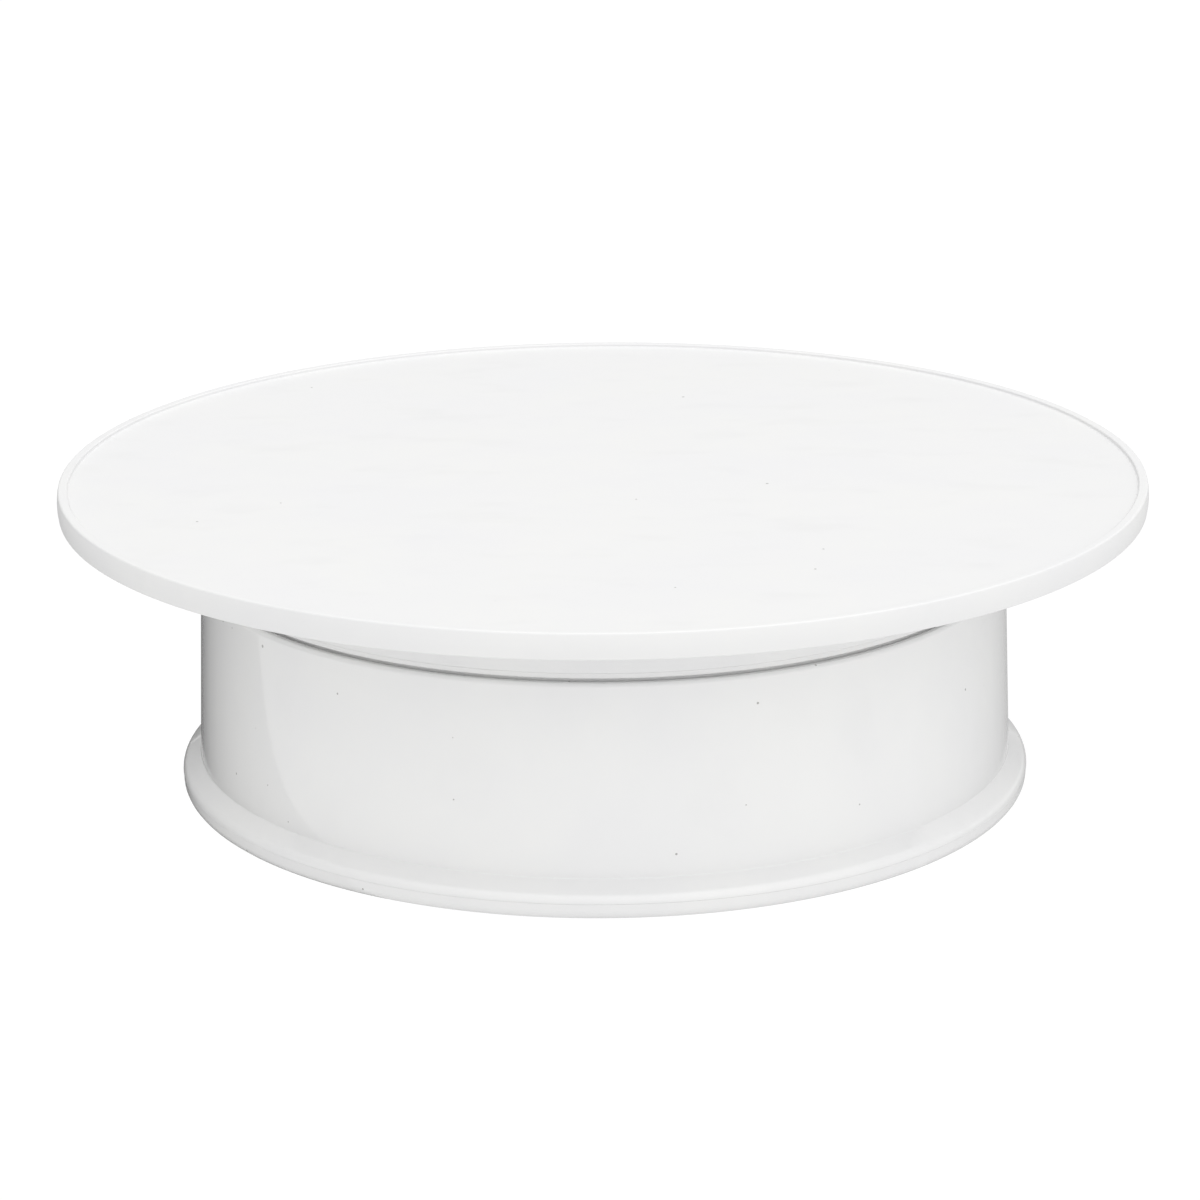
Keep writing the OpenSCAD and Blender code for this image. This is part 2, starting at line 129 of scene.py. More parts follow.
# Cover and feet
cover_z = cover_low.z
cover_r = cover_high.x
cover_floor_z = cover_z + 2.4 * MM
locating_r = drum_foot_r - WALL - 0.3 * MM
access_r = 22 * MM
cover_rib_r = 73 * MM
cover_boss_r = 4.7 * MM
cover_head_r = 3.2 * MM
foot_hole_r = 2.02 * MM
cover_boss_z = cover_z + 4.8 * MM
cover_head_z = cover_z + 2.2 * MM
foot_r = (foot_high.x - foot_low.x) / 2
foot_circle_r = (foot_high.x + foot_low.x) / 2
pillar_circle_r = 80 * MM
pillar_r = 4 * MM
race_screw_r = race_out_r - 2.9 * MM
plate_screw_r = race_out_r + 4.3 * MM
spindle_screw_r = 14 * MM
SPINDLE_SCREWS = 4
SPINDLE_SCREW_START = 45   # degrees
M3_R = 1.5 * MM
M4_R = 2 * MM
PLAY = 0.2 * MM        # how much wider than its screw a clearance hole is
SEAM_FILLET = 0.15 * MM
SCREW_TWIST = 1.7      # radians between the recesses of neighbouring screws


# ---------------------------------------------------------------- mesh tools

def rounded(corners, steps=ARC_STEPS):
    """Closed outline from (radius, height, fillet) corners, each fillet drawn as an arc."""
    points = []
    count = len(corners)
    for i, (r, z, fillet) in enumerate(corners):
        here = Vector((r, z))
        if fillet <= 0:
            points.append(here)
            continue
        back = (Vector(corners[i - 1][:2]) - here).normalized()
        ahead = (Vector(corners[(i + 1) % count][:2]) - here).normalized()
        half = back.angle(ahead) / 2
        centre = here + (back + ahead).normalized() * (fillet / math.sin(half))
        start = here + back * (fillet / math.tan(half)) - centre
        sweep = start.angle_signed(here + ahead * (fillet / math.tan(half)) - centre)
        for k in range(steps + 1):
            points.append(centre + Matrix.Rotation(-sweep * k / steps, 2) @ start)
    return points


def new_piece(name, verts, faces):
    mesh = bpy.data.meshes.new(name)
    mesh.from_pydata(verts, [], faces)
    bm = bmesh.new()
    bm.from_mesh(mesh)
    bmesh.ops.recalc_face_normals(bm, faces=bm.faces)
    bm.to_mesh(mesh)
    bm.free()
    piece = bpy.data.objects.new(name, mesh)
    bpy.context.scene.collection.objects.link(piece)
    return piece


def revolve(name, outline, segments=ROUND, shape=None):
    """Solid turned from a closed outline. shape(r, z, angle), if given, alters each radius."""
    verts = []
    rings = []
    for r, z in outline:
        if r < TINY:
            rings.append([len(verts)])
            verts.append((0, 0, z))
            continue
        rings.append(list(range(len(verts), len(verts) + segments)))
        for k in range(segments):
            angle = 2 * math.pi * k / segments
            reach = shape(r, z, angle) if shape else r
            verts.append((reach * math.cos(angle), reach * math.sin(angle), z))
    faces = []
    for i, ring in enumerate(rings):
        following = rings[(i + 1) % len(rings)]
        if len(ring) == 1 and len(following) == 1:
            continue
        for k in range(segments):
            n = (k + 1) % segments
            if len(ring) == 1:
                faces.append((ring[0], following[k], following[n]))
            elif len(following) == 1:
                faces.append((ring[k], ring[n], following[0]))
            else:
                faces.append((ring[k], ring[n], following[n], following[k]))
    return new_piece(name, verts, faces)


def slab(x0, x1, width, z0, z1, turn, name="slab"):
    """Upright rib from radius x0 to x1, turned about the axis."""
    spin = Matrix.Rotation(turn, 3, "Z")
    verts = [
        spin @ Vector((x, y, z))
        for z in (z0, z1)
        for x, y in ((x0, -width / 2), (x1, -width / 2), (x1, width / 2), (x0, width / 2))
    ]
    faces = [(3, 2, 1, 0), (4, 5, 6, 7), (0, 1, 5, 4), (1, 2, 6, 5), (2, 3, 7, 6), (3, 0, 4, 7)]
    return new_piece(name, verts, faces)


def spun(outline, circle_r, turn, segments=FINE_ROUND):
    """Upright turned shape on a circle about the axis, from (radius, height) points."""
    closed = [(0, outline[0][1])] + outline + [(0, outline[-1][1])]
    piece = revolve("spun", closed, segments)
    place = Vector((circle_r * math.cos(turn), circle_r * math.sin(turn), 0))
    piece.data.transform(Matrix.Translation(place))
    return piece


def post(r, z0, z1, circle_r, turn, segments=FINE_ROUND):
    return spun([(r, z0), (r, z1)], circle_r, turn, segments)


def cross(reach, width, z0, z1):
    """Plus-shaped prism."""
    h = width / 2
    arm = [Vector((reach, -h)), Vector((reach, h)), Vector((h, h))]
    outline = [Matrix.Rotation(math.pi / 2 * k, 2) @ p for k in range(4) for p in arm]
    count = len(outline)
    verts = [(x, y, z) for z in (z0, z1) for x, y in outline]
    faces = [tuple(range(count)), tuple(range(count, 2 * count))]
    faces += [(i, (i + 1) % count, count + (i + 1) % count, count + i) for i in range(count)]
    return new_piece("cross", verts, faces)


def turns(count, start=0.0):
    return [math.radians(start) + 2 * math.pi * i / count for i in range(count)]


def join(name, parts):
    """One object from several meshes; the parts are used up."""
    bm = bmesh.new()
    for part in parts:
        bm.from_mesh(part.data)
        old = part.data
        bpy.data.objects.remove(part)
        bpy.data.meshes.remove(old)
    mesh = bpy.data.meshes.new(name)
    bm.to_mesh(mesh)
    bm.free()
    piece = bpy.data.objects.new(name, mesh)
    bpy.context.scene.collection.objects.link(piece)
    return piece


def combine(piece, parts, operation):
    """Exact boolean of piece with all the parts at once; the parts are used up."""
    tool = join("tool", parts)
    change = piece.modifiers.new("combine", "BOOLEAN")
    change.operation = operation
    change.solver = "EXACT"
    change.object = tool
    depsgraph = bpy.context.evaluated_depsgraph_get()
    made = bpy.data.meshes.new_from_object(piece.evaluated_get(depsgraph))
    old = piece.data
    piece.modifiers.clear()
    piece.data = made
    made.name = piece.name
    bpy.data.meshes.remove(old)
    old = tool.data
    bpy.data.objects.remove(tool)
    bpy.data.meshes.remove(old)


def finish_piece(piece, body, slot, material, *nodes):
    """Smooth shading with crisp edges, a material, and the body that the piece rides on."""
    piece.data.shade_smooth()
    piece.data.set_sharp_from_angle(angle=SMOOTH_ANGLE)
    weighted = piece.modifiers.new("weighted normals", "WEIGHTED_NORMAL")
    weighted.keep_sharp = True
    piece.data.materials.clear()
    piece.data.materials.append(material)
    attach(piece, body)
    if nodes:
        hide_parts(*nodes)


# ---------------------------------------------------------------- materials

class Graph:
    """Short names for building a node tree."""

    def __init__(self, name):
        self.material = bpy.data.materials.new(name)
        self.material.use_nodes = True
        self.nodes = self.material.node_tree.nodes
        self.links = self.material.node_tree.links
        self.nodes.clear()
        self.shader = self.add("ShaderNodeBsdfPrincipled")
        output = self.add("ShaderNodeOutputMaterial")
        self.links.new(self.shader.outputs["BSDF"], output.inputs["Surface"])
        self.place = self.add("ShaderNodeTexCoord").outputs["Object"]

    def add(self, kind, **settings):
        node = self.nodes.new(kind)
        for key, value in settings.items():
            setattr(node, key, value)
        return node

    def feed(self, node, **inputs):
        for key, value in inputs.items():
            socket = node.inputs[key.replace("_", " ")]
            if isinstance(value, bpy.types.NodeSocket):
                self.links.new(value, socket)
            else:
                socket.default_value = value
        return node

    def math(self, operation, a, b=0.0, clamp=False):
        node = self.add("ShaderNodeMath", operation=operation, use_clamp=clamp)
        for socket, value in zip(node.inputs, (a, b)):
            if isinstance(value, bpy.types.NodeSocket):
                self.links.new(value, socket)
            else:
                socket.default_value = value
        return node.outputs[0]

    def noise(self, scale, detail=3.0, roughness=0.5, stretch=(1, 1, 1), turn=0.0):
        """Noise value, scale in features per metre."""
        mapping = self.add("ShaderNodeMapping")
        self.links.new(self.place, mapping.inputs["Vector"])
        mapping.inputs["Scale"].default_value = stretch
        mapping.inputs["Rotation"].default_value = (0, 0, turn)
        node = self.add("ShaderNodeTexNoise")
        self.feed(node, Vector=mapping.outputs[0], Scale=scale, Detail=detail, Roughness=roughness)
        return node.outputs[0]

    def remap(self, value, low, high, to_low, to_high):
        node = self.add("ShaderNodeMapRange")
        self.links.new(value, node.inputs["Value"])
        for key, number in zip(("From Min", "From Max", "To Min", "To Max"),
                               (low, high, to_low, to_high)):
            node.inputs[key].default_value = number
        return node.outputs[0]

    def mix(self, factor, a, b):
        node = self.add("ShaderNodeMix", data_type="RGBA")
        for socket, value in ((node.inputs[0], factor), (node.inputs[6], a), (node.inputs[7], b)):
            if isinstance(value, bpy.types.NodeSocket):
                self.links.new(value, socket)
            else:
                socket.default_value = value if isinstance(value, float) else (*value, 1)
        return node.outputs[2]

    def specks(self, cells_per_metre, share, radius):
        """1 in sparse round specks. share is the part of cells that hold one."""
        cells = self.add("ShaderNodeTexVoronoi")
        self.feed(cells, Vector=self.place, Scale=cells_per_metre)
        chosen = self.add("ShaderNodeSeparateColor")
        self.links.new(cells.outputs["Color"], chosen.inputs[0])
        has_one = self.math("LESS_THAN", chosen.outputs[0], share)
        reach = self.math("MULTIPLY", chosen.outputs[1], radius * cells_per_metre)
        inside = self.math("LESS_THAN", cells.outputs["Distance"], reach)
        return self.math("MULTIPLY", has_one, inside)

    def bump(self, height, strength, distance, normal=None):
        node = self.add("ShaderNodeBump")
        self.feed(node, Height=height, Strength=strength, Distance=distance)
        if normal:
            self.links.new(normal, node.inputs["Normal"])
        return node.outputs[0]


def white_plastic(name, colour, roughness, specular, coat, grain, scuffs, smudges,
                  dust_share):
    """Moulded white plastic: mottling, smudges, fine grain, hairline scuffs and dust specks."""
    g = Graph(name)
    mottle = g.noise(35, detail=4)
    shade = [c * 0.975 for c in colour[:2]] + [colour[2] * 0.985]
    base = g.mix(g.remap(mottle, 0.35, 0.65, 0, 1), colour, shade)
    smudge = g.noise(40, detail=5, stretch=(1, 2.2, 1), turn=0.5)
    base = g.mix(g.remap(smudge, 0.56, 0.74, 0, smudges), base, (0.55, 0.55, 0.54))
    dust = g.specks(400, dust_share, 0.0004)
    base = g.mix(g.math("MULTIPLY", dust, 0.6), base, (0.20, 0.19, 0.17))
    lines = [g.noise(90, detail=2, stretch=(1, 40, 1), turn=t) for t in (0.3, 1.2, 2.4)]
    hairs = [g.remap(line, 0.70, 0.74, 0, 1) for line in lines]
    scuff = g.math("MAXIMUM", g.math("MAXIMUM", hairs[0], hairs[1]), hairs[2])
    patches = g.remap(g.noise(22, detail=2), 0.45, 0.65, 0, 1)
    scuff = g.math("MULTIPLY", g.math("MULTIPLY", scuff, patches), scuffs)
    uneven = g.remap(mottle, 0.3, 0.7, roughness * 0.85, roughness * 1.15)
    rough = g.math("ADD", uneven, g.math("MULTIPLY", scuff, 0.12), clamp=True)
    fine = g.noise(2600, detail=2)
    height = g.math("SUBTRACT", g.math("MULTIPLY", fine, grain), g.math("MULTIPLY", scuff, 0.3))
    broad = g.bump(g.noise(24, detail=1), 0.10, 0.00025)
    normal = g.bump(height, 0.35, 0.00001, broad)
    g.feed(g.shader, Base_Color=base, Roughness=rough, Normal=normal)
    g.shader.inputs["IOR"].default_value = 1.5
    g.shader.inputs["Specular IOR Level"].default_value = specular
    g.shader.inputs["Coat Weight"].default_value = coat
    g.shader.inputs["Coat Roughness"].default_value = 0.04
    return g.material


def turned_steel(name, colour, roughness, lines_per_metre):
    """Steel with fine turning lines round the axis and a film of grease."""
    g = Graph(name)
    split = g.add("ShaderNodeSeparateXYZ")
    g.links.new(g.place, split.inputs[0])
    across = g.math("POWER", split.outputs[0], 2.0)
    along = g.math("POWER", split.outputs[1], 2.0)
    radius = g.math("SQRT", g.math("ADD", across, along))
    fine = g.add("ShaderNodeTexNoise", noise_dimensions="1D")
    steps = g.math("ADD", radius, split.outputs[2])
    g.feed(fine, W=steps, Scale=lines_per_metre, Detail=3.0)
    film = g.noise(120, detail=3)
    base = g.mix(g.remap(film, 0.4, 0.7, 0, 1), colour, [c * 0.82 for c in colour])
    rough = g.remap(film, 0.3, 0.7, roughness * 0.7, roughness * 1.4)
    normal = g.bump(fine.outputs[0], 0.25, 0.00002)
    g.feed(g.shader, Base_Color=base, Roughness=rough, Normal=normal)
    g.shader.inputs["Metallic"].default_value = 1.0
    return g.material


def moulded(name, colour, roughness, grain_scale, grain_depth):
    """Plain engineering plastic or rubber with grain, mottling and dust."""
    g = Graph(name)
    mottle = g.noise(160, detail=4)
    base = g.mix(g.remap(mottle, 0.3, 0.7, 0, 1), colour, [c * 0.86 for c in colour])
    dust = g.specks(600, 0.25, 0.0002)
    base = g.mix(g.math("MULTIPLY", dust, 0.4), base, [min(1, c + 0.25) for c in colour])
    rough = g.remap(mottle, 0.3, 0.7, roughness * 0.9, min(1, roughness * 1.1))
    normal = g.bump(g.noise(grain_scale, detail=3), 0.4, grain_depth)
    g.feed(g.shader, Base_Color=base, Roughness=rough, Normal=normal)
    return g.material


# A satin plastic's specular level is nearer 0.5. The lower one keeps the top from burning out when
# it is seen from above or behind.
SATIN = {"roughness": 0.36, "specular": 0.1, "coat": 0.0, "grain": 1.0, "scuffs": 1.0,
         "smudges": 0.08, "dust_share": 0.01}
satin_white = white_plastic("satin_white", (0.82, 0.82, 0.815), **SATIN)
# The skirt's white is the satin plastic made lighter: painted light that lifts the skirt where it
# lies in the plate's shade.
skirt_lightened_white = white_plastic("skirt_lightened_white", (0.86, 0.86, 0.855), **SATIN)
gloss_white = white_plastic("gloss_white", (0.89, 0.89, 0.882), roughness=0.11, specular=0.5,
                            coat=0.8, grain=0.3, scuffs=0.35, smudges=0.04, dust_share=0.06)
steel = turned_steel("bearing_steel", (0.62, 0.63, 0.65), 0.24, 9000)
zinc = turned_steel("zinc_plate", (0.70, 0.70, 0.66), 0.34, 4000)
nylon = moulded("natural_nylon", (0.80, 0.78, 0.70), 0.42, 3000, 0.00002)
acetal = moulded("black_acetal", (0.03, 0.03, 0.033), 0.38, 3000, 0.00002)
rubber = moulded("foot_rubber", (0.045, 0.045, 0.048), 0.82, 5000, 0.00006)


# ---------------------------------------------------------------- turning pieces

def make_plate():
    hole_z = plate_boss_z + 2.2 * MM
    plate = revolve("plate_shell", rounded([
        (0, top_z, 0),
        (lip_in_r, top_z, 0.35 * MM),
        (lip_in_r, lip_top_z, 0.35 * MM),
        (rim_peak_r - RIM_CROWN, lip_top_z, 0.5 * MM),
        (rim_peak_r, (lip_top_z + rim_z) / 2, RIM_SIDE_R),
        (rim_peak_r - RIM_CROWN, rim_z, 0.4 * MM),
        (lip_in_r, rim_z, 0.2 * MM),
        (lip_in_r, top_under_z, 0.8 * MM),
        (centring_out_r, top_under_z, 0.3 * MM),
        (centring_out_r, centring_z, 0.3 * MM),
        (centring_in_r, centring_z, 0.3 * MM),
        (centring_in_r, top_under_z, 0.5 * MM),
        (plate_boss_r, top_under_z, 0.8 * MM),
        (plate_boss_r, plate_boss_z, 0.3 * MM),
        (spigot_hole_r, plate_boss_z, 0),
        (spigot_hole_r, hole_z, 0),
        (0, hole_z, 0),
    ]))
    inside_z = top_z - 1.5 * MM
    added = [
        slab(plate_boss_r - 1 * MM, centring_in_r + 1 * MM, RIB_W,
             top_under_z - RIB_H, inside_z, turn)
        for turn in turns(SIXES, BETWEEN)
    ]
    added += [
        post(plate_post_r, strip_high.z, inside_z, plate_screw_r, turn)
        for turn in turns(SIXES)
    ]
    combine(plate, added, "UNION")
    holes = [
        post(M3_R, strip_high.z - 1 * MM, strip_high.z + 9 * MM, plate_screw_r, turn, SCREW_ROUND)
        for turn in turns(SIXES)
    ]
    holes += [
        post(M4_R, plate_boss_z - 1 * MM, plate_boss_z + 8 * MM, spindle_screw_r, turn,
             SCREW_ROUND)
        for turn in turns(SPINDLE_SCREWS, SPINDLE_SCREW_START)
    ]
    combine(plate, holes, "DIFFERENCE")
    finish_piece(plate, "rotor", "white_satin", satin_white, "top_plate")


def make_skirt():
    skirt = revolve("skirt_shell", rounded([
        (skirt_r, skirt_z, SEAM_FILLET),
        (skirt_r, skirt_high.z, 0),
        (skirt_in_r, skirt_high.z, 0.3 * MM),
        (skirt_in_r, skirt_z, 0.2 * MM),
    ]))
    finish_piece(skirt, "rotor", "white_satin", skirt_lightened_white, "skirt_ring")


def make_strip():
    seat_z = strip_z + 1 * MM
    spigot_r = skirt_in_r - 0.2 * MM
    strip = revolve("strip_shell", rounded([
        (strip_in_r, strip_z, 0.2 * MM),
        (strip_in_r, strip_high.z, 0.2 * MM),
        (spigot_r, strip_high.z, 0.3 * MM),
        (spigot_r, skirt_z, 0),
        (strip_r, skirt_z, SEAM_FILLET),
        (strip_r, strip_z, 0.3 * MM),
        (guard_out_r, strip_z, 0.2 * MM),
        (guard_out_r, guard_z, 0.3 * MM),
        (guard_in_r, guard_z, 0.3 * MM),
        (guard_in_r, strip_z, 0.2 * MM),
        (seat_out_r, strip_z, 0),
        (seat_out_r, seat_z, 0),
        (seat_in_r, seat_z, 0),
        (seat_in_r, strip_z, 0),
    ]))
    over = 0.2 * MM
    hole_r = M3_R + PLAY
    countersunk = [
        (2 * M3_R + PLAY + over, strip_z - over),
        (hole_r, strip_z + M3_R),
        (hole_r, strip_high.z + over),
    ]
    holes = [spun(countersunk, plate_screw_r, turn, SCREW_ROUND) for turn in turns(SIXES)]
    holes += [
        post(hole_r, strip_z, strip_high.z + over, race_screw_r, turn, SCREW_ROUND)
        for turn in turns(SIXES, BETWEEN)
    ]
    combine(strip, holes, "DIFFERENCE")
    finish_piece(strip, "rotor", "white_gloss", gloss_white, "bearing_plate")


# ---------------------------------------------------------------- standing pieces

def make_drum():
    rebate_z = deck_edge_z - deck_edge_t
    ledge_under_z = rebate_z - deck_edge_t
    foot_in_r = drum_foot_r - WALL
    top_in_r = drum_top_r - WALL
    drum = revolve("drum_shell", rounded([
        (flange_r, seam_z, SEAM_FILLET),
        (flange_r, flange_edge_z, 2.5 * MM),
        (drum_foot_r, drum_foot_z, 0.4 * MM),
        (drum_top_r, drum_top_z, 1 * MM),
        (rebate_r, drum_top_z, 0.2 * MM),
        (rebate_r, rebate_z, 0),
        (ledge_r, rebate_z, 0.2 * MM),
        (ledge_r, ledge_under_z, 0.2 * MM),
        (top_in_r, ledge_under_z, 0.5 * MM),
        (foot_in_r, drum_foot_z, 0),
        (foot_in_r, seam_z, 0.2 * MM),
    ]))
    finish_piece(drum, "base", "white_gloss", gloss_white, "drum_wall")


def make_deck():
    deck = revolve("deck_shell", rounded([
        (deck_edge_r, deck_edge_z - deck_edge_t, 0.2 * MM),
        (deck_edge_r, deck_edge_z, 0.2 * MM),
        (step_r, deck_edge_z, 0.6 * MM),
        (step_r, deck_z, 0.4 * MM),
        (seat_out_r, deck_z, 0),
        (seat_out_r, race_low.z, 0),
        (seat_in_r, race_low.z, 0),
        (seat_in_r, deck_z, 0),
        (hub_r, deck_z, 0.6 * MM),
        (hub_r, hub_top_z, 0.3 * MM),
        (hub_bore_r, hub_top_z, 0),
        (hub_bore_r, hub_bottom_z, 0),
        (hub_r, hub_bottom_z, 0.3 * MM),
        (hub_r, deck_under_z, 0.8 * MM),
        (step_r + WALL, deck_under_z, 0.5 * MM),
        (step_r + WALL, deck_edge_z - deck_edge_t, 0.2 * MM),
    ]))
    inside_z = deck_under_z + 1 * MM
    ribs = [
        slab(hub_r - 1 * MM, pillar_circle_r, RIB_W, deck_under_z - RIB_H, inside_z, turn)
        for turn in turns(SIXES, BETWEEN)
    ]
    combine(deck, ribs, "UNION")
    pillars = [
        post(pillar_r, cover_boss_z, inside_z, pillar_circle_r, turn)
        for turn in turns(SIXES, BETWEEN)
    ]
    combine(deck, pillars, "UNION")
    holes = [
        post(M3_R, cover_boss_z - 1 * MM, cover_boss_z + 12 * MM, pillar_circle_r, turn, SCREW_ROUND)
        for turn in turns(SIXES, BETWEEN)
    ]
    holes += [
        post(M3_R + PLAY, deck_under_z - 1 * MM, deck_z, race_screw_r, turn, SCREW_ROUND)
        for turn in turns(SIXES)
    ]
    combine(deck, holes, "DIFFERENCE")
    finish_piece(deck, "base", "white_gloss", gloss_white, "bearing_deck")


def make_cover():
    rib_z = cover_floor_z + 1.6 * MM
    cover = revolve("cover_shell", rounded([
        (access_r, cover_z, 0.6 * MM),
        (cover_r, cover_z, 2.2 * MM),
        (cover_r, seam_z, SEAM_FILLET),
        (locating_r, seam_z, 0),
        (locating_r, cover_high.z, 0.3 * MM),
        (locating_r - 2 * MM, cover_high.z, 0.3 * MM),
        (locating_r - 2 * MM, cover_floor_z, 0.5 * MM),
        (access_r + 2 * MM, cover_floor_z, 0.3 * MM),
        (access_r + 2 * MM, rib_z, 0.3 * MM),
        (access_r, rib_z, 0.3 * MM),
    ]))
    inside_z = cover_floor_z - 1 * MM
    added = [
        slab(access_r + 1 * MM, cover_rib_r, RIB_W, inside_z, rib_z, turn)
        for turn in turns(SIXES, BETWEEN)
    ]
    added += [
        post(cover_boss_r, inside_z, cover_boss_z, pillar_circle_r, turn)
        for turn in turns(SIXES, BETWEEN)
    ]
    combine(cover, added, "UNION")
    under_z = cover_z - 1 * MM
    screw_hole = [
        (cover_head_r, under_z),
        (cover_head_r, cover_head_z),
        (M3_R + PLAY, cover_head_z),
        (M3_R + PLAY, cover_boss_z + 1 * MM),
    ]
    foot_hole = [
        (foot_r + PLAY, under_z),
        (foot_r + PLAY, cover_z + 1 * MM),
        (foot_hole_r, cover_z + 1 * MM),
        (foot_hole_r, cover_floor_z + 1 * MM),
    ]
    holes = [spun(screw_hole, pillar_circle_r, turn, SCREW_ROUND) for turn in turns(SIXES, BETWEEN)]
    holes += [spun(foot_hole, foot_circle_r, turn) for turn in turns(SIXES)]
    combine(cover, holes, "DIFFERENCE")
    finish_piece(cover, "base", "white_gloss", gloss_white, "base_cover")


def make_foot(number):
    """Rubber foot with two grooves in its sole and a barbed stem."""
    groove = 0.4 * MM
    pad_z = cover_z + 1 * MM
    corners = [(0, 0, 0)]
    for r in (2.2 * MM, 4.4 * MM):
        corners += [
            (r, 0, 0.1 * MM),
            (r + 0.3 * MM, groove, 0),
            (r + 0.7 * MM, groove, 0),
            (r + 1.0 * MM, 0, 0.1 * MM),
        ]
    corners += [
        (foot_r, 0, 0.6 * MM),
        (foot_r, pad_z, 0.2 * MM),
        (M4_R, pad_z, 0),
        (M4_R, cover_floor_z, 0),
        (M4_R + 0.7 * MM, cover_floor_z, 0.2 * MM),
        (M4_R - 0.5 * MM, foot_high.z, 0.4 * MM),
        (0, foot_high.z, 0),
    ]
    foot = revolve(f"rubber_foot_{number}", rounded(corners, 3), FINE_ROUND)
    turn = 2 * math.pi * (number - 1) / SIXES
    place = (foot_circle_r * math.cos(turn), foot_circle_r * math.sin(turn), 0)
    foot.data.transform(Matrix.Translation(place))
    finish_piece(foot, "base", "rubber", rubber, f"foot_{number}")


# ---------------------------------------------------------------- screws

def make_screw(r, length, head_h, pitch, flat_head=False):
    """One threaded screw pointing up, its head's seat (or flat face) at z = 0."""
    depth = 0.16 * r
    head_r = r * 2 if flat_head else r * 1.85
    rows_per_turn = 6
    rows = int(length / pitch * rows_per_turn)
    if flat_head:
        head = [(0, 0, 0), (head_r, 0, 0.08 * MM), (r, r, 0)]
        recess_z = 0.0
        thread_from = r
    else:
        head = [
            (0, -head_h, 0),
            (head_r, -head_h, head_h * 0.62),
            (head_r, 0, 0.08 * MM),
            (r, 0, 0),
        ]
        recess_z = -head_h
        thread_from = 0.3 * MM
    span = length - thread_from - 0.5 * MM
    shank = [Vector((r, thread_from + span * i / rows)) for i in range(rows + 1)]
    tip = [Vector((r * 0.6, length)), Vector((0, length))]

    def thread(radius, z, angle):
        if abs(radius - r) > TINY or z < thread_from:
            return radius
        phase = (z / pitch - angle / (2 * math.pi)) % 1
        return radius - depth * abs(2 * phase - 1)

    outline = rounded(head + [(r, thread_from, 0)], 5) + shank[1:] + tip
    screw = revolve("screw", outline, SCREW_ROUND, thread)
    deep = min(0.9 * MM, head_h * 0.6)
    recess = cross(head_r * 0.62, head_r * 0.34, recess_z - 0.3 * MM, recess_z + deep)
    combine(screw, [recess], "DIFFERENCE")
    return screw


def make_screws(node, body, screw, count, circle_r, seat_z, start, down=False):
    """A ring of screws, as one piece in place of the CAD node."""
    flip = Matrix.Rotation(math.pi, 4, "X") if down else Matrix.Identity(4)
    copies = []
    for i, turn in enumerate(turns(count, start)):
        copy = bpy.data.objects.new("copy", screw.data.copy())
        place = (circle_r * math.cos(turn), circle_r * math.sin(turn), seat_z)
        twist = Matrix.Rotation(SCREW_TWIST * i, 4, "Z")
        copy.data.transform(Matrix.Translation(place) @ flip @ twist)
        copies.append(copy)
    bpy.data.objects.remove(screw)
    piece = join("threaded_" + node, copies)
    finish_piece(piece, body, "zinc_screws", zinc, node)


# ---------------------------------------------------------------- build

make_plate()
make_skirt()
make_strip()
make_drum()
make_deck()
make_cover()
for number in range(1, SIXES + 1):
    make_foot(number)

make_screws("cover_screws", "base", make_screw(M3_R, 12 * MM, 1.8 * MM, 1.2 * MM),
            SIXES, pillar_circle_r, cover_head_z, BETWEEN)
make_screws("lower_race_screws", "base", make_screw(M3_R, 3.7 * MM, 1.6 * MM, 0.5 * MM),
            SIXES, race_screw_r, deck_under_z, 0)
make_screws("upper_race_screws", "rotor", make_screw(M3_R, 2.9 * MM, 1.6 * MM, 0.5 * MM),
            SIXES, race_screw_r, strip_high.z, BETWEEN, down=True)
make_screws("bearing_plate_screws", "rotor",
            make_screw(M3_R, 10 * MM, M3_R, 1.2 * MM, flat_head=True),
            SIXES, plate_screw_r, strip_z, 0)
make_screws("spindle_screws", "rotor", make_screw(M4_R, 11 * MM, 2.6 * MM, 1.4 * MM),
            SPINDLE_SCREWS, spindle_screw_r, plate_boss_z - 4 * MM, SPINDLE_SCREW_START)

INSIDE_MATERIALS = {
    steel: ["upper_race", "lower_race", "bearing_balls", "spindle", "wave_washer",
            "retaining_clip"],
    nylon: ["ball_cage", "thrust_washer"],
    acetal: ["upper_bush", "lower_bush"],
}
for material, nodes in INSIDE_MATERIALS.items():
    for node in nodes:
        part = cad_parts[node]
        for place in part.material_slots:
            place.material = material


# ---------------------------------------------------------------- floor, light and camera

def make_floor():
    """Pale floor with a little light of its own, as on a lit table."""
    half = 4.0
    floor = new_piece("floor", [(-half, -half, 0), (half, -half, 0), (half, half, 0),
                                (-half, half, 0)], [(0, 1, 2, 3)])
    g = Graph("pale_floor")
    tone = g.remap(g.noise(3, detail=3), 0.3, 0.7, 0.08, 0.10)
    g.feed(g.shader, Base_Color=tone, Roughness=0.6)
    g.shader.inputs["Specular IOR Level"].default_value = 0.2
    g.shader.inputs["Emission Color"].default_value = (1, 1, 1, 1)
    g.shader.inputs["Emission Strength"].default_value = FLOOR_GLOW
    floor.data.materials.append(g.material)


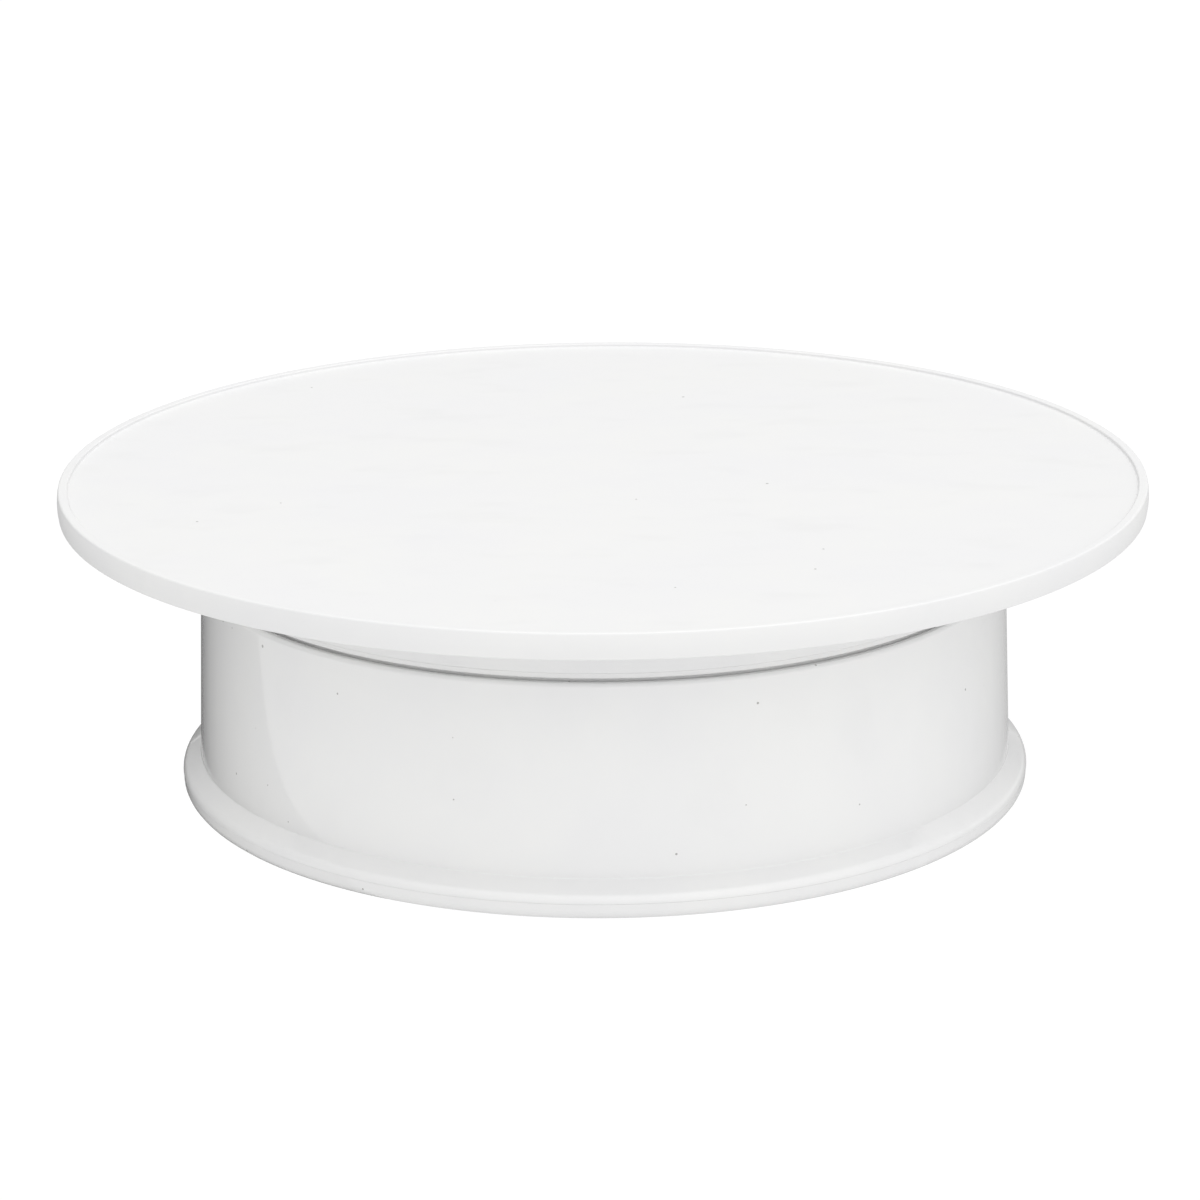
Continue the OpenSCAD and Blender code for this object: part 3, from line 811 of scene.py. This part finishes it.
def make_mat(name, z, corners, tone, glow, shading=False):
    """Unseen sheet over the floor, dark or glowing. Only reflections show it, its tone and glow
    painting shade and light into them; with shading, it gives only soft light.
    """
    mat = new_piece(name, [(x, y, z) for x, y in corners], [tuple(range(len(corners)))])
    g = Graph(name)
    sheet_tone = g.remap(g.noise(60, detail=2), 0.3, 0.7, tone * 0.95, tone * 1.05)
    g.feed(g.shader, Base_Color=sheet_tone, Roughness=0.9)
    g.shader.inputs["Emission Color"].default_value = (1, 1, 1, 1)
    g.shader.inputs["Emission Strength"].default_value = glow
    mat.data.materials.append(g.material)
    mat.visible_camera = False
    mat.visible_diffuse = shading
    mat.visible_glossy = not shading
    mat.visible_shadow = False


def make_light(name, size, place, aim, power):
    data = bpy.data.lights.new(name, "AREA")
    data.shape = "RECTANGLE"
    data.size, data.size_y = size
    data.energy = power
    light = bpy.data.objects.new(name, data)
    light.location = place
    light.rotation_mode = "QUATERNION"
    light.rotation_quaternion = (Vector(aim) - Vector(place)).to_track_quat("-Z", "Y")
    bpy.context.scene.collection.objects.link(light)


def make_world():
    """White studio, with a soft lobe of light from each side that STUDIO names."""
    world = bpy.data.worlds.new("studio")
    world.use_nodes = True
    nodes = world.node_tree.nodes
    links = world.node_tree.links

    def work(operation, *values):
        node = nodes.new("ShaderNodeMath")
        node.operation = operation
        for socket, value in zip(node.inputs, values):
            if isinstance(value, bpy.types.NodeSocket):
                links.new(value, socket)
            else:
                socket.default_value = value
        return node.outputs[0]

    direction = nodes.new("ShaderNodeTexCoord").outputs["Generated"]
    split = nodes.new("ShaderNodeSeparateXYZ")
    links.new(direction, split.inputs[0])
    height = work("MAXIMUM", split.outputs[2], 0.0)
    low = work("POWER", work("SUBTRACT", 1.0, height), HORIZON_FALLOFF)
    total = 0.0
    for side, wide, near_horizon in STUDIO.values():
        facing = nodes.new("ShaderNodeVectorMath")
        facing.operation = "DOT_PRODUCT"
        facing.inputs[1].default_value = side
        links.new(direction, facing.inputs[0])
        lobe = work("MAXIMUM", facing.outputs["Value"], 0.0)
        strength = work("MULTIPLY_ADD", low, near_horizon, wide)
        total = work("MULTIPLY_ADD", lobe, strength, total)
    links.new(total, nodes["Background"].inputs["Strength"])
    nodes["Background"].inputs["Color"].default_value = (1, 1, 1, 1)
    bpy.context.scene.world = world


def make_camera():
    """Camera at the photograph's viewing angle: low, in front, with a long lens."""
    distance = 0.971
    elevation = math.radians(19.5)
    roll = math.radians(-0.45)
    aim_x = -0.00085
    aim_height = 0.0411
    target = Vector((aim_x, 0, aim_height + cover_z))
    place = Vector((0, -distance * math.cos(elevation), distance * math.sin(elevation) + cover_z))
    data = bpy.data.cameras.new("camera")
    data.sensor_width = 36
    data.lens = 123.5
    data.clip_start = 0.05
    data.clip_end = 20
    camera = bpy.data.objects.new("camera", data)
    camera.rotation_mode = "QUATERNION"
    aim = (target - place).to_track_quat("-Z", "Y").to_matrix().to_4x4()
    camera.matrix_world = Matrix.Translation(place) @ aim @ Matrix.Rotation(roll, 4, "Z")
    bpy.context.scene.collection.objects.link(camera)
    bpy.context.scene.camera = camera


FLOOR_GLOW = 0.915
HORIZON_FALLOFF = 6.0
STUDIO = {             # direction, strength all over that side, more of it near the horizon
    "front": ((0, -1, 0), 0.71, 0.0),
    "back": ((0, 1, 0), 0.06, 0.27),
    "left": ((-1, 0, 0), 0.05, 0.0),
    "right": ((1, 0, 0), 0.34, 0.66),
    "above": ((0, 0, 1), 1.13, 0.0),
}
FAR = 0.9              # reach of the mats
MAT_TONE = 0.03
BASE_SHADE_R = 0.118

make_floor()
# The mats are unseen dark or glowing sheets that paint shade and light into the drum's reflections
# for the main view. Without them its sides come out far too light.
make_mat("front_mat", 0.3 * MM, [(-FAR, -FAR), (FAR, -FAR), (FAR, FAR), (-FAR, FAR)], MAT_TONE, 0.45)
make_mat("left_mat", 0.5 * MM,
         [(-FAR, 0.42), (-0.075, -0.085), (0.02, -0.08), (0.02, FAR), (-FAR, FAR)], MAT_TONE, 0.07)
make_mat("right_mat", 0.5 * MM, [(0.02, -0.08), (FAR, 0.15), (FAR, FAR), (0.02, FAR)], MAT_TONE, 0.42)
# Painted shade: a dimmer sheet round the base, seen only by soft light, darkens the base and the
# drum's foot as the floor's shade under the turntable would.
make_mat("base_shade_sheet", 0.7 * MM,
         [(BASE_SHADE_R * math.cos(turn), BASE_SHADE_R * math.sin(turn)) for turn in turns(FINE_ROUND)],
         MAT_TONE, 0.76, shading=True)
make_world()
make_light("top_softbox", size=(1.4, 1.4), place=(0, 0.1, 1.6), aim=(0, 0, 0.05), power=5.2)
make_camera()
bpy.context.scene.view_settings.view_transform = "Standard"
